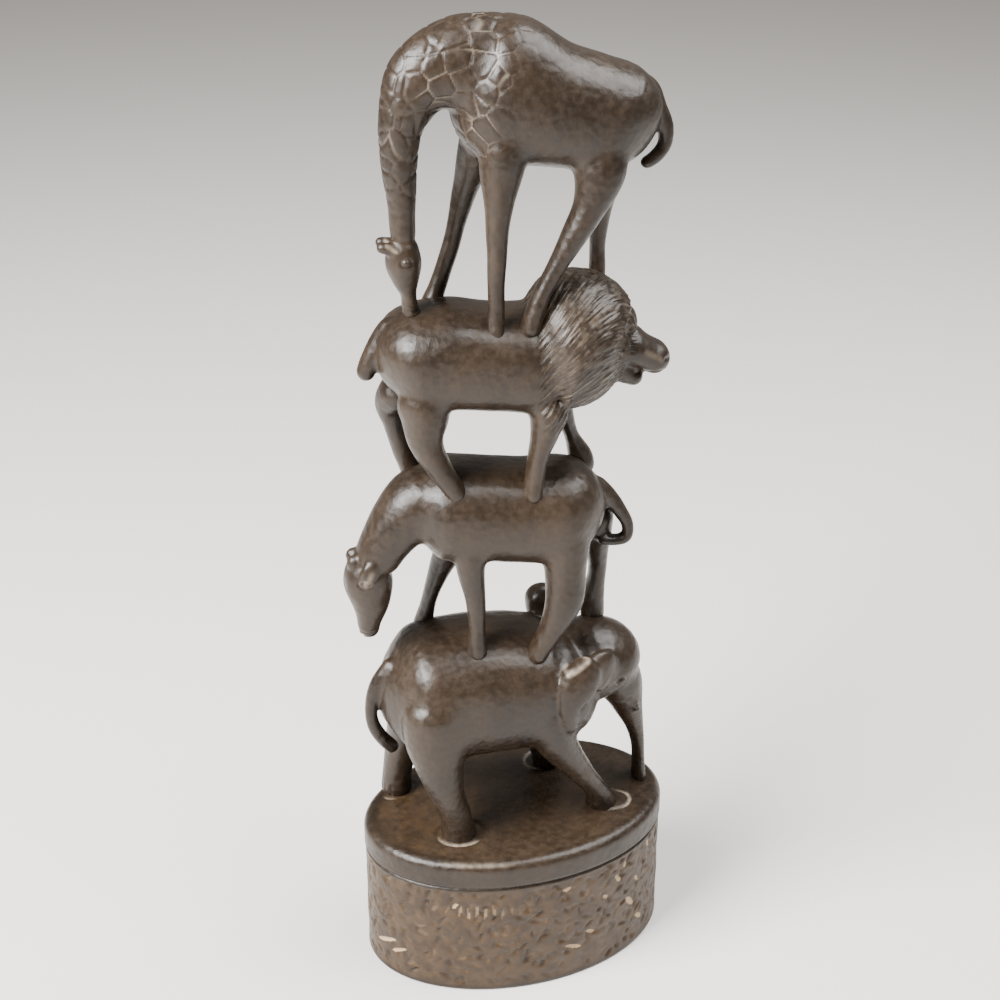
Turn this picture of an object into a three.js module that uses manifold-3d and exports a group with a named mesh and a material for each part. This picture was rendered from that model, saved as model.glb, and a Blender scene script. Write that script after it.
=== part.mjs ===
// A wood carving cut from one log: an elephant, an antelope, a lion and a giraffe,
// each standing on the back of the one below, on an oval base.
// Millimetres, +Z up, origin at the middle of the underside, the elephant facing +X.
import * as THREE from "three";
import { mergeVertices } from "three/addons/utils/BufferGeometryUtils.js";
import Module from "manifold-3d";

const wasm = await Module();
wasm.setup();

// The log, in plan
const LOG_LENGTH = 200;
const LOG_DEPTH = 138;

// The base: a smooth rim over a band cut all over with a gouge
const BASE_HEIGHT = 98;
const RIM_HEIGHT = 17;
const RIM_PROUD = 0.4;
const RIM_ROUND = 6;
const FOOT_ROUND = 2;
const GOUGE_DEPTH = 1.1;
const GOUGE_ROWS = 4;
const GOUGES_ROUND = 22;

// Height of each figure, from its feet to the back that carries the next one
const ELEPHANT_BACK = 133;
const ANTELOPE_BACK = 109;
const LION_BACK = 100;
const GIRAFFE_BACK = 162;

// The figures stand this far to the side of the base's middle
const FIGURES_ASIDE = -1;

// Degrees that each figure is turned on the base, seen from above
const ELEPHANT_TURN = -4;
const ANTELOPE_TURN = -12;
const LION_TURN = -12;
const GIRAFFE_TURN = -12;

// The lion's mane: locks side by side round the neck
const MANE_LOCKS = 12;
const LOCK_DEPTH = 2;

// The figures below are drawn on a log of this size and scaled to the one above
const DRAWN_LOG = { length: 200, depth: 138 };

// A limb is a list of [x, y, z, half width across the log, half thickness].
// It follows a smooth curve through the points and ends in two rounded tips.
// fullness 2 is an oval section, more is squarer. locks cuts flutes along it.
// rows and sides are the facets along and round it, tips the rows in each rounded tip.
function limb(points, { rows = 6, sides = 9, tips = 2, fullness = 2, locks = 0 } = {}) {
  const path = new THREE.CatmullRomCurve3(
    points.map(([x, y, z]) => new THREE.Vector3(x, y, z)), false, "centripetal");
  const girth = new THREE.CatmullRomCurve3(
    points.map(([, , , w, t]) => new THREE.Vector3(w, t, 0)), false, "catmullrom", 0.5);
  const length = path.getLength();
  const tipStart = Math.min(points[0][4], 0.45 * length);
  const tipEnd = Math.min(points.at(-1)[4], 0.45 * length);
  const allRows = rows + 2 * tips;
  const ringSides = locks ? 2 * locks : sides;
  const geometry = new THREE.SphereGeometry(1, ringSides, allRows);
  const position = geometry.attributes.position;
  const across = new THREE.Vector3();
  const up = new THREE.Vector3();
  for (let row = 0; row <= allRows; row++) {
    const [distance, swell] = station(row, { rows, tips, length, tipStart, tipEnd });
    const u = distance / length;
    const centre = path.getPointAt(u);
    const along = path.getTangentAt(u);
    const size = girth.getPoint(path.getUtoTmapping(u));
    up.crossVectors(along, new THREE.Vector3(0, 1, 0)).normalize();
    across.crossVectors(up, along).normalize();
    for (let side = 0; side <= ringSides; side++) {
      const angle = (2 * Math.PI * side) / ringSides;
      const flute = locks && side % 2 ? LOCK_DEPTH : 0;
      const width = (size.x - flute) * swell * squared(Math.cos(angle), fullness);
      const thickness = (size.y - flute) * swell * squared(Math.sin(angle), fullness);
      const point = centre.clone().addScaledVector(across, -width).addScaledVector(up, thickness);
      position.setXYZ(row * (ringSides + 1) + side, point.x, point.y, point.z);
    }
  }
  return geometry;
}

// Distance along a limb and the share of its full girth at one row of its net
function station(row, { rows, tips, length, tipStart, tipEnd }) {
  const quarter = Math.PI / 2;
  if (row < tips) {
    const angle = (quarter * row) / tips;
    return [tipStart * (1 - Math.cos(angle)), Math.sin(angle)];
  }
  if (row > tips + rows) {
    const angle = (quarter * (2 * tips + rows - row)) / tips;
    return [length - tipEnd * (1 - Math.cos(angle)), Math.sin(angle)];
  }
  const share = (row - tips) / rows;
  return [tipStart + share * (length - tipStart - tipEnd), 1];
}

// A sine or cosine bent towards a squarer ring
function squared(value, fullness) {
  return Math.sign(value) * Math.abs(value) ** (2 / fullness);
}

// A limb's twin on the other side of the figure's middle plane
function mirrored(points, shift = 0) {
  return points.map(([x, y, z, w, t]) => [x, shift - y, z, w, t]);
}

// A geometry as a manifold-3d solid
function solid(geometry) {
  geometry.deleteAttribute("normal");
  geometry.deleteAttribute("uv");
  const merged = mergeVertices(geometry, 1e-4);
  return new wasm.Manifold(new wasm.Mesh({
    numProp: 3,
    vertProperties: merged.attributes.position.array,
    triVerts: new Uint32Array(merged.index.array),
  }));
}

// The oval base: its outline turned as a profile, squeezed to the log's oval
function base() {
  const radius = LOG_LENGTH / 2;
  const bandRadius = radius - RIM_PROUD;
  const bandTop = BASE_HEIGHT - RIM_HEIGHT;
  const profile = [new THREE.Vector2(0, 0), new THREE.Vector2(bandRadius - FOOT_ROUND, 0)];
  const firstBandRow = profile.length;
  for (let row = 0; row <= GOUGE_ROWS; row++) {
    const height = FOOT_ROUND + (row / GOUGE_ROWS) * (bandTop - RIM_PROUD - FOOT_ROUND);
    profile.push(new THREE.Vector2(bandRadius, height));
  }
  profile.push(new THREE.Vector2(radius, bandTop));
  for (const angle of [0, 45, 90].map(THREE.MathUtils.degToRad)) {
    profile.push(new THREE.Vector2(
      radius - RIM_ROUND * (1 - Math.cos(angle)),
      BASE_HEIGHT - RIM_ROUND * (1 - Math.sin(angle))));
  }
  profile.push(new THREE.Vector2(0, BASE_HEIGHT));
  const geometry = new THREE.LatheGeometry(profile, 2 * GOUGES_ROUND);
  const position = geometry.attributes.position;
  for (let column = 0; column <= 2 * GOUGES_ROUND; column++) {
    for (let row = 1; row < GOUGE_ROWS; row++) {
      const i = column * profile.length + firstBandRow + row;
      const gouged = (row + column) % 2 ? 1 - GOUGE_DEPTH / radius : 1;
      position.setX(i, position.getX(i) * gouged);
      position.setZ(i, position.getZ(i) * gouged);
    }
  }
  geometry.rotateX(Math.PI / 2);
  geometry.scale(1, LOG_DEPTH / LOG_LENGTH, 1);
  return solid(geometry);
}

// Joins a figure's limbs, scales it from its drawing, turns it and stands it at its height
function figure(limbs, { drawnBack, back, turn, feet }) {
  const place = new THREE.Matrix4()
    .makeTranslation(FIGURES_ASIDE, 0, feet)
    .multiply(new THREE.Matrix4().makeScale(
      LOG_LENGTH / DRAWN_LOG.length, LOG_DEPTH / DRAWN_LOG.depth, back / drawnBack))
    .multiply(new THREE.Matrix4().makeRotationZ(THREE.MathUtils.degToRad(turn)));
  return limbs
    .map((geometry) => solid(geometry.applyMatrix4(place)))
    .reduce((whole, piece) => whole.add(piece));
}

const BODY = { rows: 7, sides: 16, tips: 3, fullness: 2.35 };
const LEG = { rows: 5, sides: 8, tips: 2 };
const SMALL = { rows: 2, sides: 6, tips: 1 };

// The elephant: trunk down to the base, ears flat against the shoulders
function elephant() {
  const nearEar = [
    [38, -31, 121, 8, 6], [34, -35, 112, 7, 13], [29, -37, 101, 7, 13],
    [25, -37, 89, 7, 8], [25, -36, 78, 6, 6], [27, -35, 69, 5, 4.5]];
  const farEar = [
    [28, 36, 135, 9, 9], [30.5, 37, 120, 9, 11], [35, 37, 103, 9, 11.5],
    [40, 36, 90, 8, 10], [41, 34, 79, 8, 6.5]];
  return [
    limb([[-86, 5, 88, 32, 32], [-66, 5, 89, 41, 41], [-40, 4, 90, 43.5, 42.5],
      [-8, 3, 89.5, 43.5, 42], [22, 2, 87, 40, 39], [40, 2, 91, 33, 32], [55, 2, 96, 24, 22]],
      BODY),
    limb([[32, 2, 94, 24, 29], [52, 2, 97.5, 28, 28.5], [66.5, 2, 91, 26, 26], [75, 2, 80, 20, 19]],
      { rows: 5, sides: 14, fullness: 2.1 }),
    limb([[60, 2, 98, 22, 19], [72, 2, 76, 17, 15], [78.5, 2, 57, 12, 9.5], [83.5, 2, 40, 9, 5.8],
      [86.3, 2, 25, 8, 4], [87.3, 2, 10, 7.5, 4], [88.3, 2, -6, 8, 5.5]], { rows: 8, sides: 8 }),
    limb([[-59, -22, 105, 20, 19.5], [-57, -25, 70, 17, 18.5], [-52, -26, 37, 14, 12],
      [-44.5, -26, 10, 12, 10], [-43, -26, -2, 12.5, 11.5], [-42.5, -26, -11, 12.5, 11.5]], LEG),
    limb([[-59, 28, 75, 18, 16.5], [-63.5, 32, 39, 14, 11], [-67.5, 33, 16, 11, 9],
      [-68.5, 33, 2, 11, 10], [-68.5, 33, -9, 11, 10]], LEG),
    limb([[16, -22, 92, 18, 17.5], [20.5, -24, 61, 15, 15], [36.5, -21, 32, 12, 9],
      [49.5, -19, 12, 11, 7], [54.5, -18, 1, 11, 9], [59, -17, -8.5, 11, 9]], LEG),
    limb([[20, 26, 78, 18, 18], [24, 30, 52, 14, 13], [30, 33, 28, 11, 11],
      [34, 34, 8, 11, 11], [36, 34, -6, 11, 11]], LEG),
    limb([[-74, 5, 114, 6, 6], [-86, 5, 98, 5, 5], [-90.5, 5, 84, 4.5, 4],
      [-90, 5, 71, 4.5, 4], [-84.5, 6, 59, 4.5, 4.5], [-75, 9, 46, 5, 4.5]], { rows: 7, sides: 6 }),
    limb(nearEar, { rows: 4, sides: 10, fullness: 2.3 }),
    limb(farEar, { rows: 4, sides: 10, fullness: 2.6 }),
    limb([[71, -9, 76, 2.5, 3], [77, -11, 67, 2, 2.5], [81, -12, 60, 1.5, 1.5]], SMALL),
    limb([[71, 13, 76, 2.5, 3], [77, 15, 67, 2, 2.5], [81, 16, 60, 1.5, 1.5]], SMALL),
  ];
}

// The antelope: head down to graze, tail curled back to the haunch
function antelope() {
  const nearEar = [[-84, -17, 57, 4, 4], [-88, -19, 50, 3, 6], [-91, -20, 41, 2.5, 2.5]];
  const nearHorn = [[-91, -9, 49, 4.5, 6], [-97, -10, 53, 4, 5.5], [-101, -10, 56, 3, 4]];
  return [
    limb([[-66, 0, 80, 26, 26], [-48, 0, 82, 33, 30], [-22, 0, 80, 34, 30],
      [4, 0, 77, 33, 30.5], [34, 0, 76, 32, 31.5], [55, 0, 72, 27, 29]], BODY),
    limb([[-36, 0, 88, 26, 24], [-54.5, -2, 88, 23, 21.5], [-69, -4, 76, 19, 18],
      [-81, -5, 58, 16, 14.5], [-86.5, -5, 43, 15, 13]], { rows: 7, sides: 12, fullness: 2.1 }),
    limb([[-91, -5, 57, 11, 10], [-89.3, -5, 39, 15.5, 15], [-88.3, -5, 23, 12.5, 11.5],
      [-89.5, -5, 10, 9, 7.3], [-90.5, -5, -0.5, 8, 6]], { rows: 6, sides: 12, fullness: 2.2 }),
    limb([[-30, -20, 68, 14, 12], [-28.5, -22, 46, 9, 8], [-26, -22, 25, 7.5, 6],
      [-25.5, -22, 8, 7.5, 5.2], [-25.5, -22, -6, 9, 6.5], [-25.5, -22, -14.5, 9, 7.5]], LEG),
    limb([[-31, 18, 59, 14, 12.5], [-42, 20, 33, 9, 7.5], [-49, 21, 12, 7.5, 4.8],
      [-53, 22, -5, 8, 5.5], [-55.5, 22, -17, 8, 7.5]], LEG),
    limb([[29, -20, 74, 18, 16.5], [29, -22, 45, 14, 13], [27.5, -22, 24, 11, 11.5],
      [20, -22, 4, 9, 8], [12.5, -22, -10, 9, 6.5], [11, -22, -18, 9, 7]], LEG),
    limb([[51, 16, 72, 16, 13.5], [55.5, 20, 42, 11, 8], [56.5, 22, 19, 8, 5.5],
      [54.5, 22, 2, 8.5, 7], [54, 22, -18, 9, 8]], LEG),
    limb([[45, 2, 92, 8, 8], [57, 2, 82, 6, 6], [65.5, 2, 71, 5, 4.5], [70.5, 2, 61, 4.5, 3.8],
      [70, 2, 53, 4.5, 3.5], [62.5, 2, 51, 4.5, 3.3], [52, 2, 52, 4.5, 3]], { rows: 9, sides: 6 }),
    limb(nearEar, SMALL),
    limb(mirrored(nearEar, -10), SMALL),
    limb(nearHorn, SMALL),
    limb(mirrored(nearHorn, -10), SMALL),
  ];
}

// The lion: mane in locks, mouth open
function lion() {
  const nearEar = [[50, -22, 103, 4.5, 5], [49, -25, 95, 4, 5.5], [48, -26, 88, 3, 3.5]];
  return [
    limb([[-78, 0, 59.5, 24, 21], [-62, 0, 67, 33, 28.5], [-44, 0, 71, 36, 30],
      [-14, 0, 68, 36, 29.5], [14, 0, 66, 36, 30.5], [36, 0, 66, 32, 30]],
      { ...BODY, fullness: 2.5 }),
    limb([[2, 0, 70, 30, 30], [18, 0, 75, 39, 41], [34, 0, 74, 40, 43], [48, 0, 66, 36, 40],
      [63, 0, 59, 27, 32]], { rows: 6, fullness: 2.1, locks: MANE_LOCKS }),
    limb([[-57, -20, 60, 20, 17], [-54.5, -22, 42, 16, 14.5], [-54.5, -23, 27, 12, 10.5],
      [-47.5, -23, 10, 10, 7.5], [-39, -22, -5, 9, 6.5], [-35, -22, -14, 9, 6.5]], LEG),
    limb([[-60, 18, 47, 18, 13], [-71.5, 20, 34, 11, 9], [-69.5, 21, 22, 9, 6.8],
      [-66.5, 21, 10, 9, 6.5], [-61, 21, -7, 9, 6.5], [-57, 21, -20, 9, 6.5]], LEG),
    limb([[19, -20, 49, 18, 14], [15, -22, 29, 11, 9], [11.5, -22, 15, 9, 6.3],
      [9, -22, 0, 8, 5.7], [8, -22, -10.5, 8.5, 6], [7.5, -22, -17.5, 8.5, 6]], LEG),
    limb([[18, 14, 58, 17, 14], [24, 18, 40, 15, 12.5], [32.5, 20, 21, 10, 6.5],
      [38.5, 21, 5, 7.5, 4.5], [44, 22, -9, 9, 7.5], [46, 22, -22, 9, 8]], LEG),
    limb([[50, -2, 86, 18, 14], [60, -2, 86, 17, 12], [72, -2, 81, 13, 10.5]],
      { rows: 3, sides: 9 }),
    limb([[57, -2, 82, 18, 15], [72, -2, 71, 14, 11], [81, -2, 64, 12, 9.8], [90.5, -2, 61, 11, 8.2]],
      { rows: 4, sides: 10, fullness: 2.3 }),
    limb([[52, -2, 65, 14, 11.5], [62, -2, 57, 11, 8], [68.5, -2, 53, 9, 6.3], [75, -2, 50, 8, 4.8]],
      { rows: 4, sides: 8, fullness: 2.2 }),
    limb([[-64, 0, 92, 10, 9.5], [-74.5, 0, 80, 8, 8.7], [-83, 0, 68.5, 7, 6.3], [-88, 0, 57, 6, 5]],
      { rows: 5, sides: 7 }),
    limb(nearEar, SMALL),
    limb(mirrored(nearEar, -4), SMALL),
  ];
}

// The giraffe: neck bent down so that the muzzle meets the lion's rump
function giraffe() {
  const nearEar = [[-63, -9, 35, 5, 5], [-71, -10, 37.5, 4, 3.8], [-78.5, -10, 39, 3, 2.8]];
  return [
    limb([[-36, 0, 129, 22, 26], [-22, 0, 125, 29, 36], [-6, 0, 121.5, 33, 40],
      [18, 0, 114.5, 34, 35.5], [42, 0, 108, 33, 32], [62, 0, 100.5, 29, 31.5],
      [76, 0, 93, 22, 27]], BODY),
    limb([[18, 0, 120, 20, 26], [-8, 0, 130, 24, 31.5], [-32.5, -1, 135, 21, 26.3], [-52, -3, 127.5, 17.5, 20],
      [-62.6, -4, 105.5, 14, 12.8], [-64.3, -5, 82, 11, 10], [-63.5, -5, 58, 9, 7.7],
      [-63.3, -5, 38, 8.5, 6.8]], { rows: 10, sides: 12, fullness: 2.1 }),
    limb([[-63.7, -5, 44, 9, 6.8], [-63.3, -5, 28, 11.5, 10.3], [-62.3, -5, 17.5, 9, 7.5],
      [-61, -5, 9.5, 7, 4.5], [-60, -5, 1, 7, 4.8], [-57, -5, -9, 7, 5.5]],
      { rows: 7, sides: 8 }),
    limb([[-7, -18, 103, 16, 14], [-10, -20, 78, 12, 11.5], [-12.3, -21, 63, 9, 7.5],
      [-13.3, -22, 41, 6.5, 5.2], [-13.8, -22, 21, 5.5, 4.3], [-13.8, -22, 0, 5.5, 4.3],
      [-13.8, -22, -12, 7, 5], [-13.8, -22, -19, 7, 5]], LEG),
    limb([[-16, 18, 100, 14, 12], [-25, 20, 64, 9, 7], [-30.3, 20, 45, 6.5, 4.8],
      [-35, 20, 27, 6, 4.3], [-42, 20, 5, 6, 4.6], [-45.5, 20, -5, 8, 6],
      [-47.5, 20, -12, 8, 6]], LEG),
    limb([[44, -18, 96, 18, 18], [43.7, -20, 78, 14, 14.5], [38.3, -21, 61, 11, 9.7],
      [28.3, -22, 42, 8.5, 7], [19, -22, 25, 7, 5.3], [10.3, -22, 7, 7, 5.3],
      [6, -22, -7, 8, 6], [5, -22, -14, 8, 6]], LEG),
    limb([[50, 16, 82, 16, 15], [53.3, 18, 58, 11, 8], [52.3, 20, 42, 8, 5.5],
      [51.2, 20, 25, 6, 4.7], [51.2, 20, 11, 6.5, 4.8], [50.7, 20, -3, 7, 5.2]], LEG),
    limb([[57, 0, 120, 12, 10], [69, 0, 117, 10, 11], [78, 0, 107, 7, 7], [83.7, 0, 97, 5.5, 4.8],
      [83.7, 0, 88, 5, 4], [78.5, 0, 81, 5, 3.8], [71, 0, 76.5, 4.5, 3.2]], { rows: 7, sides: 7 }),
    limb(nearEar, SMALL),
    limb(mirrored(nearEar, -10), SMALL),
  ];
}

const antelopeFeet = BASE_HEIGHT + ELEPHANT_BACK;
const lionFeet = antelopeFeet + ANTELOPE_BACK;
const giraffeFeet = lionFeet + LION_BACK;

const carving = base()
  .add(figure(elephant(),
    { drawnBack: 133, back: ELEPHANT_BACK, turn: ELEPHANT_TURN, feet: BASE_HEIGHT }))
  .add(figure(antelope(),
    { drawnBack: 109, back: ANTELOPE_BACK, turn: ANTELOPE_TURN, feet: antelopeFeet }))
  .add(figure(lion(), { drawnBack: 100, back: LION_BACK, turn: LION_TURN, feet: lionFeet }))
  .add(figure(giraffe(),
    { drawnBack: 162, back: GIRAFFE_BACK, turn: GIRAFFE_TURN, feet: giraffeFeet }));

const net = carving.getMesh();
const geometry = new THREE.BufferGeometry();
geometry.setAttribute("position", new THREE.BufferAttribute(net.vertProperties, 3));
geometry.setIndex(new THREE.BufferAttribute(net.triVerts, 1));
geometry.computeVertexNormals();

const waxedWood = new THREE.MeshStandardMaterial({ color: 0x54483d, roughness: 0.42, metalness: 0 });
const sculpture = new THREE.Mesh(geometry, waxedWood);
sculpture.name = "animal_stack_carving";

const part = new THREE.Group();
part.add(sculpture);
export default part;
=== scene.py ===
"""A wood carving of four animals standing on one another's backs, on an oval base.

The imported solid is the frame. The base and the four figures are each one skin over it,
carved here with the giraffe's coat, the lion's mane, faces, and the gouged band of the base.
Shapes are worked out in millimetres and put into the meshes in metres.
"""

import bpy
import numpy as np
from mathutils import Euler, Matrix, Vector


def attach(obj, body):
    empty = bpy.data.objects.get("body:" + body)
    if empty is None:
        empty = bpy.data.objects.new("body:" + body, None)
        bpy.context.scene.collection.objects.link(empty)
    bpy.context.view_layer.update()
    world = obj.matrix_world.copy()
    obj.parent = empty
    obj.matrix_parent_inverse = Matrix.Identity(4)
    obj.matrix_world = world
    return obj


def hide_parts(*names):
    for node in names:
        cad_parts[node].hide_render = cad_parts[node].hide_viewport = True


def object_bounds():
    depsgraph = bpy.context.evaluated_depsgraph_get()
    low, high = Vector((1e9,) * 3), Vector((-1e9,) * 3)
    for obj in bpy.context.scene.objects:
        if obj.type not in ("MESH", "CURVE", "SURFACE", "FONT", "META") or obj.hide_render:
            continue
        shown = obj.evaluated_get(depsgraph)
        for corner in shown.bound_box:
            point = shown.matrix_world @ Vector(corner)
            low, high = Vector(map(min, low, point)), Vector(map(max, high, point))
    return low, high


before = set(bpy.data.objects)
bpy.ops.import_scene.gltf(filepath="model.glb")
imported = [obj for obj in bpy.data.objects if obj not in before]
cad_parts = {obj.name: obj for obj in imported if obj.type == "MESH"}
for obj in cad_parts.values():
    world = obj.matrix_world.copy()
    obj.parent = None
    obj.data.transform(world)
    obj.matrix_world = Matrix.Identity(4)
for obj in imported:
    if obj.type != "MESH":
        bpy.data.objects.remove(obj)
cad_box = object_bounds()

MM = 0.001
NODE = "animal_stack_carving"
RNG = np.random.default_rng(7)

# The base, as the solid has it
HALF_LENGTH = 100.0
HALF_DEPTH = 69.0
BASE_HEIGHT = 98.0
RIM_HEIGHT = 17.0
RIM_PROUD = 0.4
RIM_ROUND = 6.0
FOOT_ROUND = 2.0

# Where each figure stands, and how far it is turned
FIGURES_ASIDE = -1.0
FIGURES = {
    "elephant": {"feet": 98.0, "turn": -4.0},
    "antelope": {"feet": 231.0, "turn": -12.0},
    "lion": {"feet": 340.0, "turn": -12.0},
    "giraffe": {"feet": 440.0, "turn": -12.0},
}

# How fine the skins are: a figure's voxel, and the base's rows and columns
SKIN = 1.05
BAND_STEP = 0.8
BASE_SIDES = 440

# How far a point goes in one round of filling a crease, and in and out in one of smoothing
FILL_STEP = 0.95
EVEN_STEP = 0.1
SMOOTH_IN = 0.5
SMOOTH_OUT = 0.53

# How many points are held against all the seeds at once, which keeps the memory small
BATCH = 4000

# The photograph's camera: metres, degrees, and millimetres of lens
CAMERA_AT = (-0.341, -0.910, 0.788)
CAMERA_DOWN = 26.0
CAMERA_ROUND = 20.0
CAMERA_LENS = 64.8
CAMERA_SENSOR = 36

# The stage's lights: place, the point faced, side of the square in metres, and watts
KEY_LIGHT = ((-1.35, -0.35, 1.42), (0, 0, 0.34), 1.1, 165)
TOP_LIGHT = ((0.80, -0.25, 1.70), (0, 0, 0.35), 1.3, 62)
WORLD_COLOUR = (1, 0.95, 0.89, 1)
WORLD_POWER = 0.33
FLOOR_COLOUR = (0.70, 0.675, 0.645)
FLOOR_HALF = 6


# Limbs

def path_through(points, steps=24):
    """A centripetal Catmull-Rom curve through the points, every column carried along.

    Each stretch blends the points round it by the square root of their spacing.
    """
    p = np.asarray(points, float)
    p = np.vstack([2 * p[0] - p[1], p, 2 * p[-1] - p[-2]])
    gaps = np.linalg.norm(np.diff(p[:, :3], axis=0), axis=1) ** 0.5
    knot = np.concatenate([[0], np.cumsum(gaps)])

    def blend(a, b, ta, tb, t):
        return ((tb - t) * a + (t - ta) * b) / (tb - ta)

    rows = []
    for i in range(1, len(p) - 2):
        k = knot[i - 1:i + 3]
        t = np.linspace(k[1], k[2], steps, endpoint=False)[:, None]
        a = blend(p[i - 1], p[i], k[0], k[1], t)
        b = blend(p[i], p[i + 1], k[1], k[2], t)
        c = blend(p[i + 1], p[i + 2], k[2], k[3], t)
        rows.append(blend(blend(a, b, k[0], k[2], t), blend(b, c, k[1], k[3], t), k[1], k[2], t))
    rows.append(p[-2][None])
    return np.vstack(rows)


def limb(points, fullness=2.0, sides=36):
    """A rounded limb along a curve: points are [x, y, z, half width, half thickness].

    A ring is a superellipse of exponent fullness, across the curve. Over the last half
    thickness at each end its size falls as a quarter circle does.
    """
    line = path_through(points)
    steps = np.linalg.norm(np.diff(line[:, :3], axis=0), axis=1)
    distance = np.concatenate([[0], np.cumsum(steps)])
    length = distance[-1]
    start = min(points[0][4], 0.45 * length)
    end = min(points[-1][4], 0.45 * length)
    quarter = np.linspace(0, np.pi / 2, 9)
    middle = np.linspace(start, length - end, max(int(length / 2), 6))[1:-1]
    station = np.concatenate([start * (1 - np.cos(quarter)), middle,
                              length - end * (1 - np.cos(quarter[::-1]))])
    swell = np.concatenate([np.sin(quarter), np.ones(len(middle)), np.sin(quarter[::-1])])
    row = np.stack([np.interp(station, distance, line[:, i]) for i in range(5)], 1)
    tangent = np.stack([np.interp(station, distance, np.gradient(line[:, i])) for i in range(3)], 1)
    tangent /= np.linalg.norm(tangent, axis=1, keepdims=True)
    up = np.cross(tangent, [0.0, 1.0, 0.0])
    up /= np.linalg.norm(up, axis=1, keepdims=True)
    across = np.cross(up, tangent)
    angle = np.linspace(0, 2 * np.pi, sides, endpoint=False)
    ring = np.stack([np.cos(angle), np.sin(angle)])
    ring = np.sign(ring) * np.abs(ring) ** (2 / fullness)
    width = (row[:, 3] * swell)[:, None, None] * ring[0][None, :, None]
    thickness = (row[:, 4] * swell)[:, None, None] * ring[1][None, :, None]
    return row[:, None, :3] - across[:, None] * width + up[:, None] * thickness


def twin(points, middle=0.0):
    """The same limb on the other side of the figure, mirrored about y = middle."""
    return [[x, 2 * middle - y, z, w, t] for x, y, z, w, t in points]


def ring_faces(rows, sides, first=0):
    """The quads between neighbouring rings of a tube, from its first point on."""
    i = np.arange(rows - 1)[:, None] * sides
    j = np.arange(sides)[None]
    k = (j + 1) % sides
    return np.stack([i + j, i + k, i + sides + k, i + sides + j], -1).reshape(-1, 4) + first


# Skins

def fused(shells, voxel):
    """The points and quads of one skin round overlapping closed shells, by voxel remesh."""
    faces, first = [], 0
    for shell in shells:
        faces.append(ring_faces(shell.shape[0], shell.shape[1], first))
        first += shell.shape[0] * shell.shape[1]
    points = np.vstack([shell.reshape(-1, 3) for shell in shells]) * MM
    mesh = bpy.data.meshes.new("shells")
    mesh.from_pydata(points.tolist(), [], np.vstack(faces).tolist())
    shape = bpy.data.objects.new("shells", mesh)
    bpy.context.scene.collection.objects.link(shape)
    skin = shape.modifiers.new("skin", "REMESH")
    skin.mode = "VOXEL"
    skin.voxel_size = voxel * MM
    made = bpy.data.meshes.new_from_object(shape.evaluated_get(bpy.context.evaluated_depsgraph_get()))
    quads = np.empty(len(made.loops), int)
    made.loops.foreach_get("vertex_index", quads)
    at = np.empty(len(made.vertices) * 3)
    made.vertices.foreach_get("co", at)
    bpy.data.objects.remove(shape)
    bpy.data.meshes.remove(mesh)
    bpy.data.meshes.remove(made)
    return at.reshape(-1, 3) / MM, quads.reshape(-1, 4)


def gather(index, values, count):
    """The sum of the values at each index, column by column."""
    return np.stack([np.bincount(index, values[:, i], count) for i in range(values.shape[1])], 1)


def normals_of(points, quads):
    """Unit normals at the points: the crossed diagonals of the quads round each, summed."""
    corner = points[quads]
    flat = np.cross(corner[:, 2] - corner[:, 0], corner[:, 3] - corner[:, 1])
    total = sum(gather(quads[:, i], flat, len(points)) for i in range(4))
    return total / np.maximum(np.linalg.norm(total, axis=1, keepdims=True), 1e-12)


def edges_of(quads):
    """Each edge of a closed mesh once: the quads on its two sides run it in opposite ways."""
    pairs = np.vstack([quads[:, [i, (i + 1) % 4]] for i in range(4)])
    return pairs[pairs[:, 0] < pairs[:, 1]]


def neighbour_offset(points, edges):
    """From each point to the mean of its neighbours along the edges."""
    a, b = edges.T
    total = gather(a, points[b], len(points)) + gather(b, points[a], len(points))
    count = np.bincount(edges.ravel(), minlength=len(points))
    return total / np.maximum(count, 1)[:, None] - points


def softened(points, quads, crisp, corners, flanks, polish):
    """Hollow creases filled to a fillet, then the whole skin smoothed without shrinking.

    A crease is where the mean of the neighbours lies outside the skin, and a point moves out
    to it, by less where crisp is near 1. After some rounds only the flanks go on filling, which
    face along Y, so that a leg runs into its shoulder and the corner under the belly stays small.
    Smoothing moves in by a half and out by a little more, in turn.
    """
    edges = edges_of(quads)
    points = points + SMOOTH_IN * neighbour_offset(points, edges)
    soft = 1 - crisp(points)[:, None]
    for i in range(corners + flanks):
        if i % 4 == 0:
            normal = normals_of(points, quads)
        offset = neighbour_offset(points, edges)
        outward = np.maximum((offset * normal).sum(1, keepdims=True), 0)
        share = soft if i < corners else soft * fade(np.abs(normal[:, 1:2]), 0.35, 0.8)
        points = points + share * (FILL_STEP * outward * normal + EVEN_STEP * offset)
    for _ in range(polish):
        points = points + SMOOTH_IN * neighbour_offset(points, edges)
        points = points - SMOOTH_OUT * neighbour_offset(points, edges)
    return points


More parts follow.
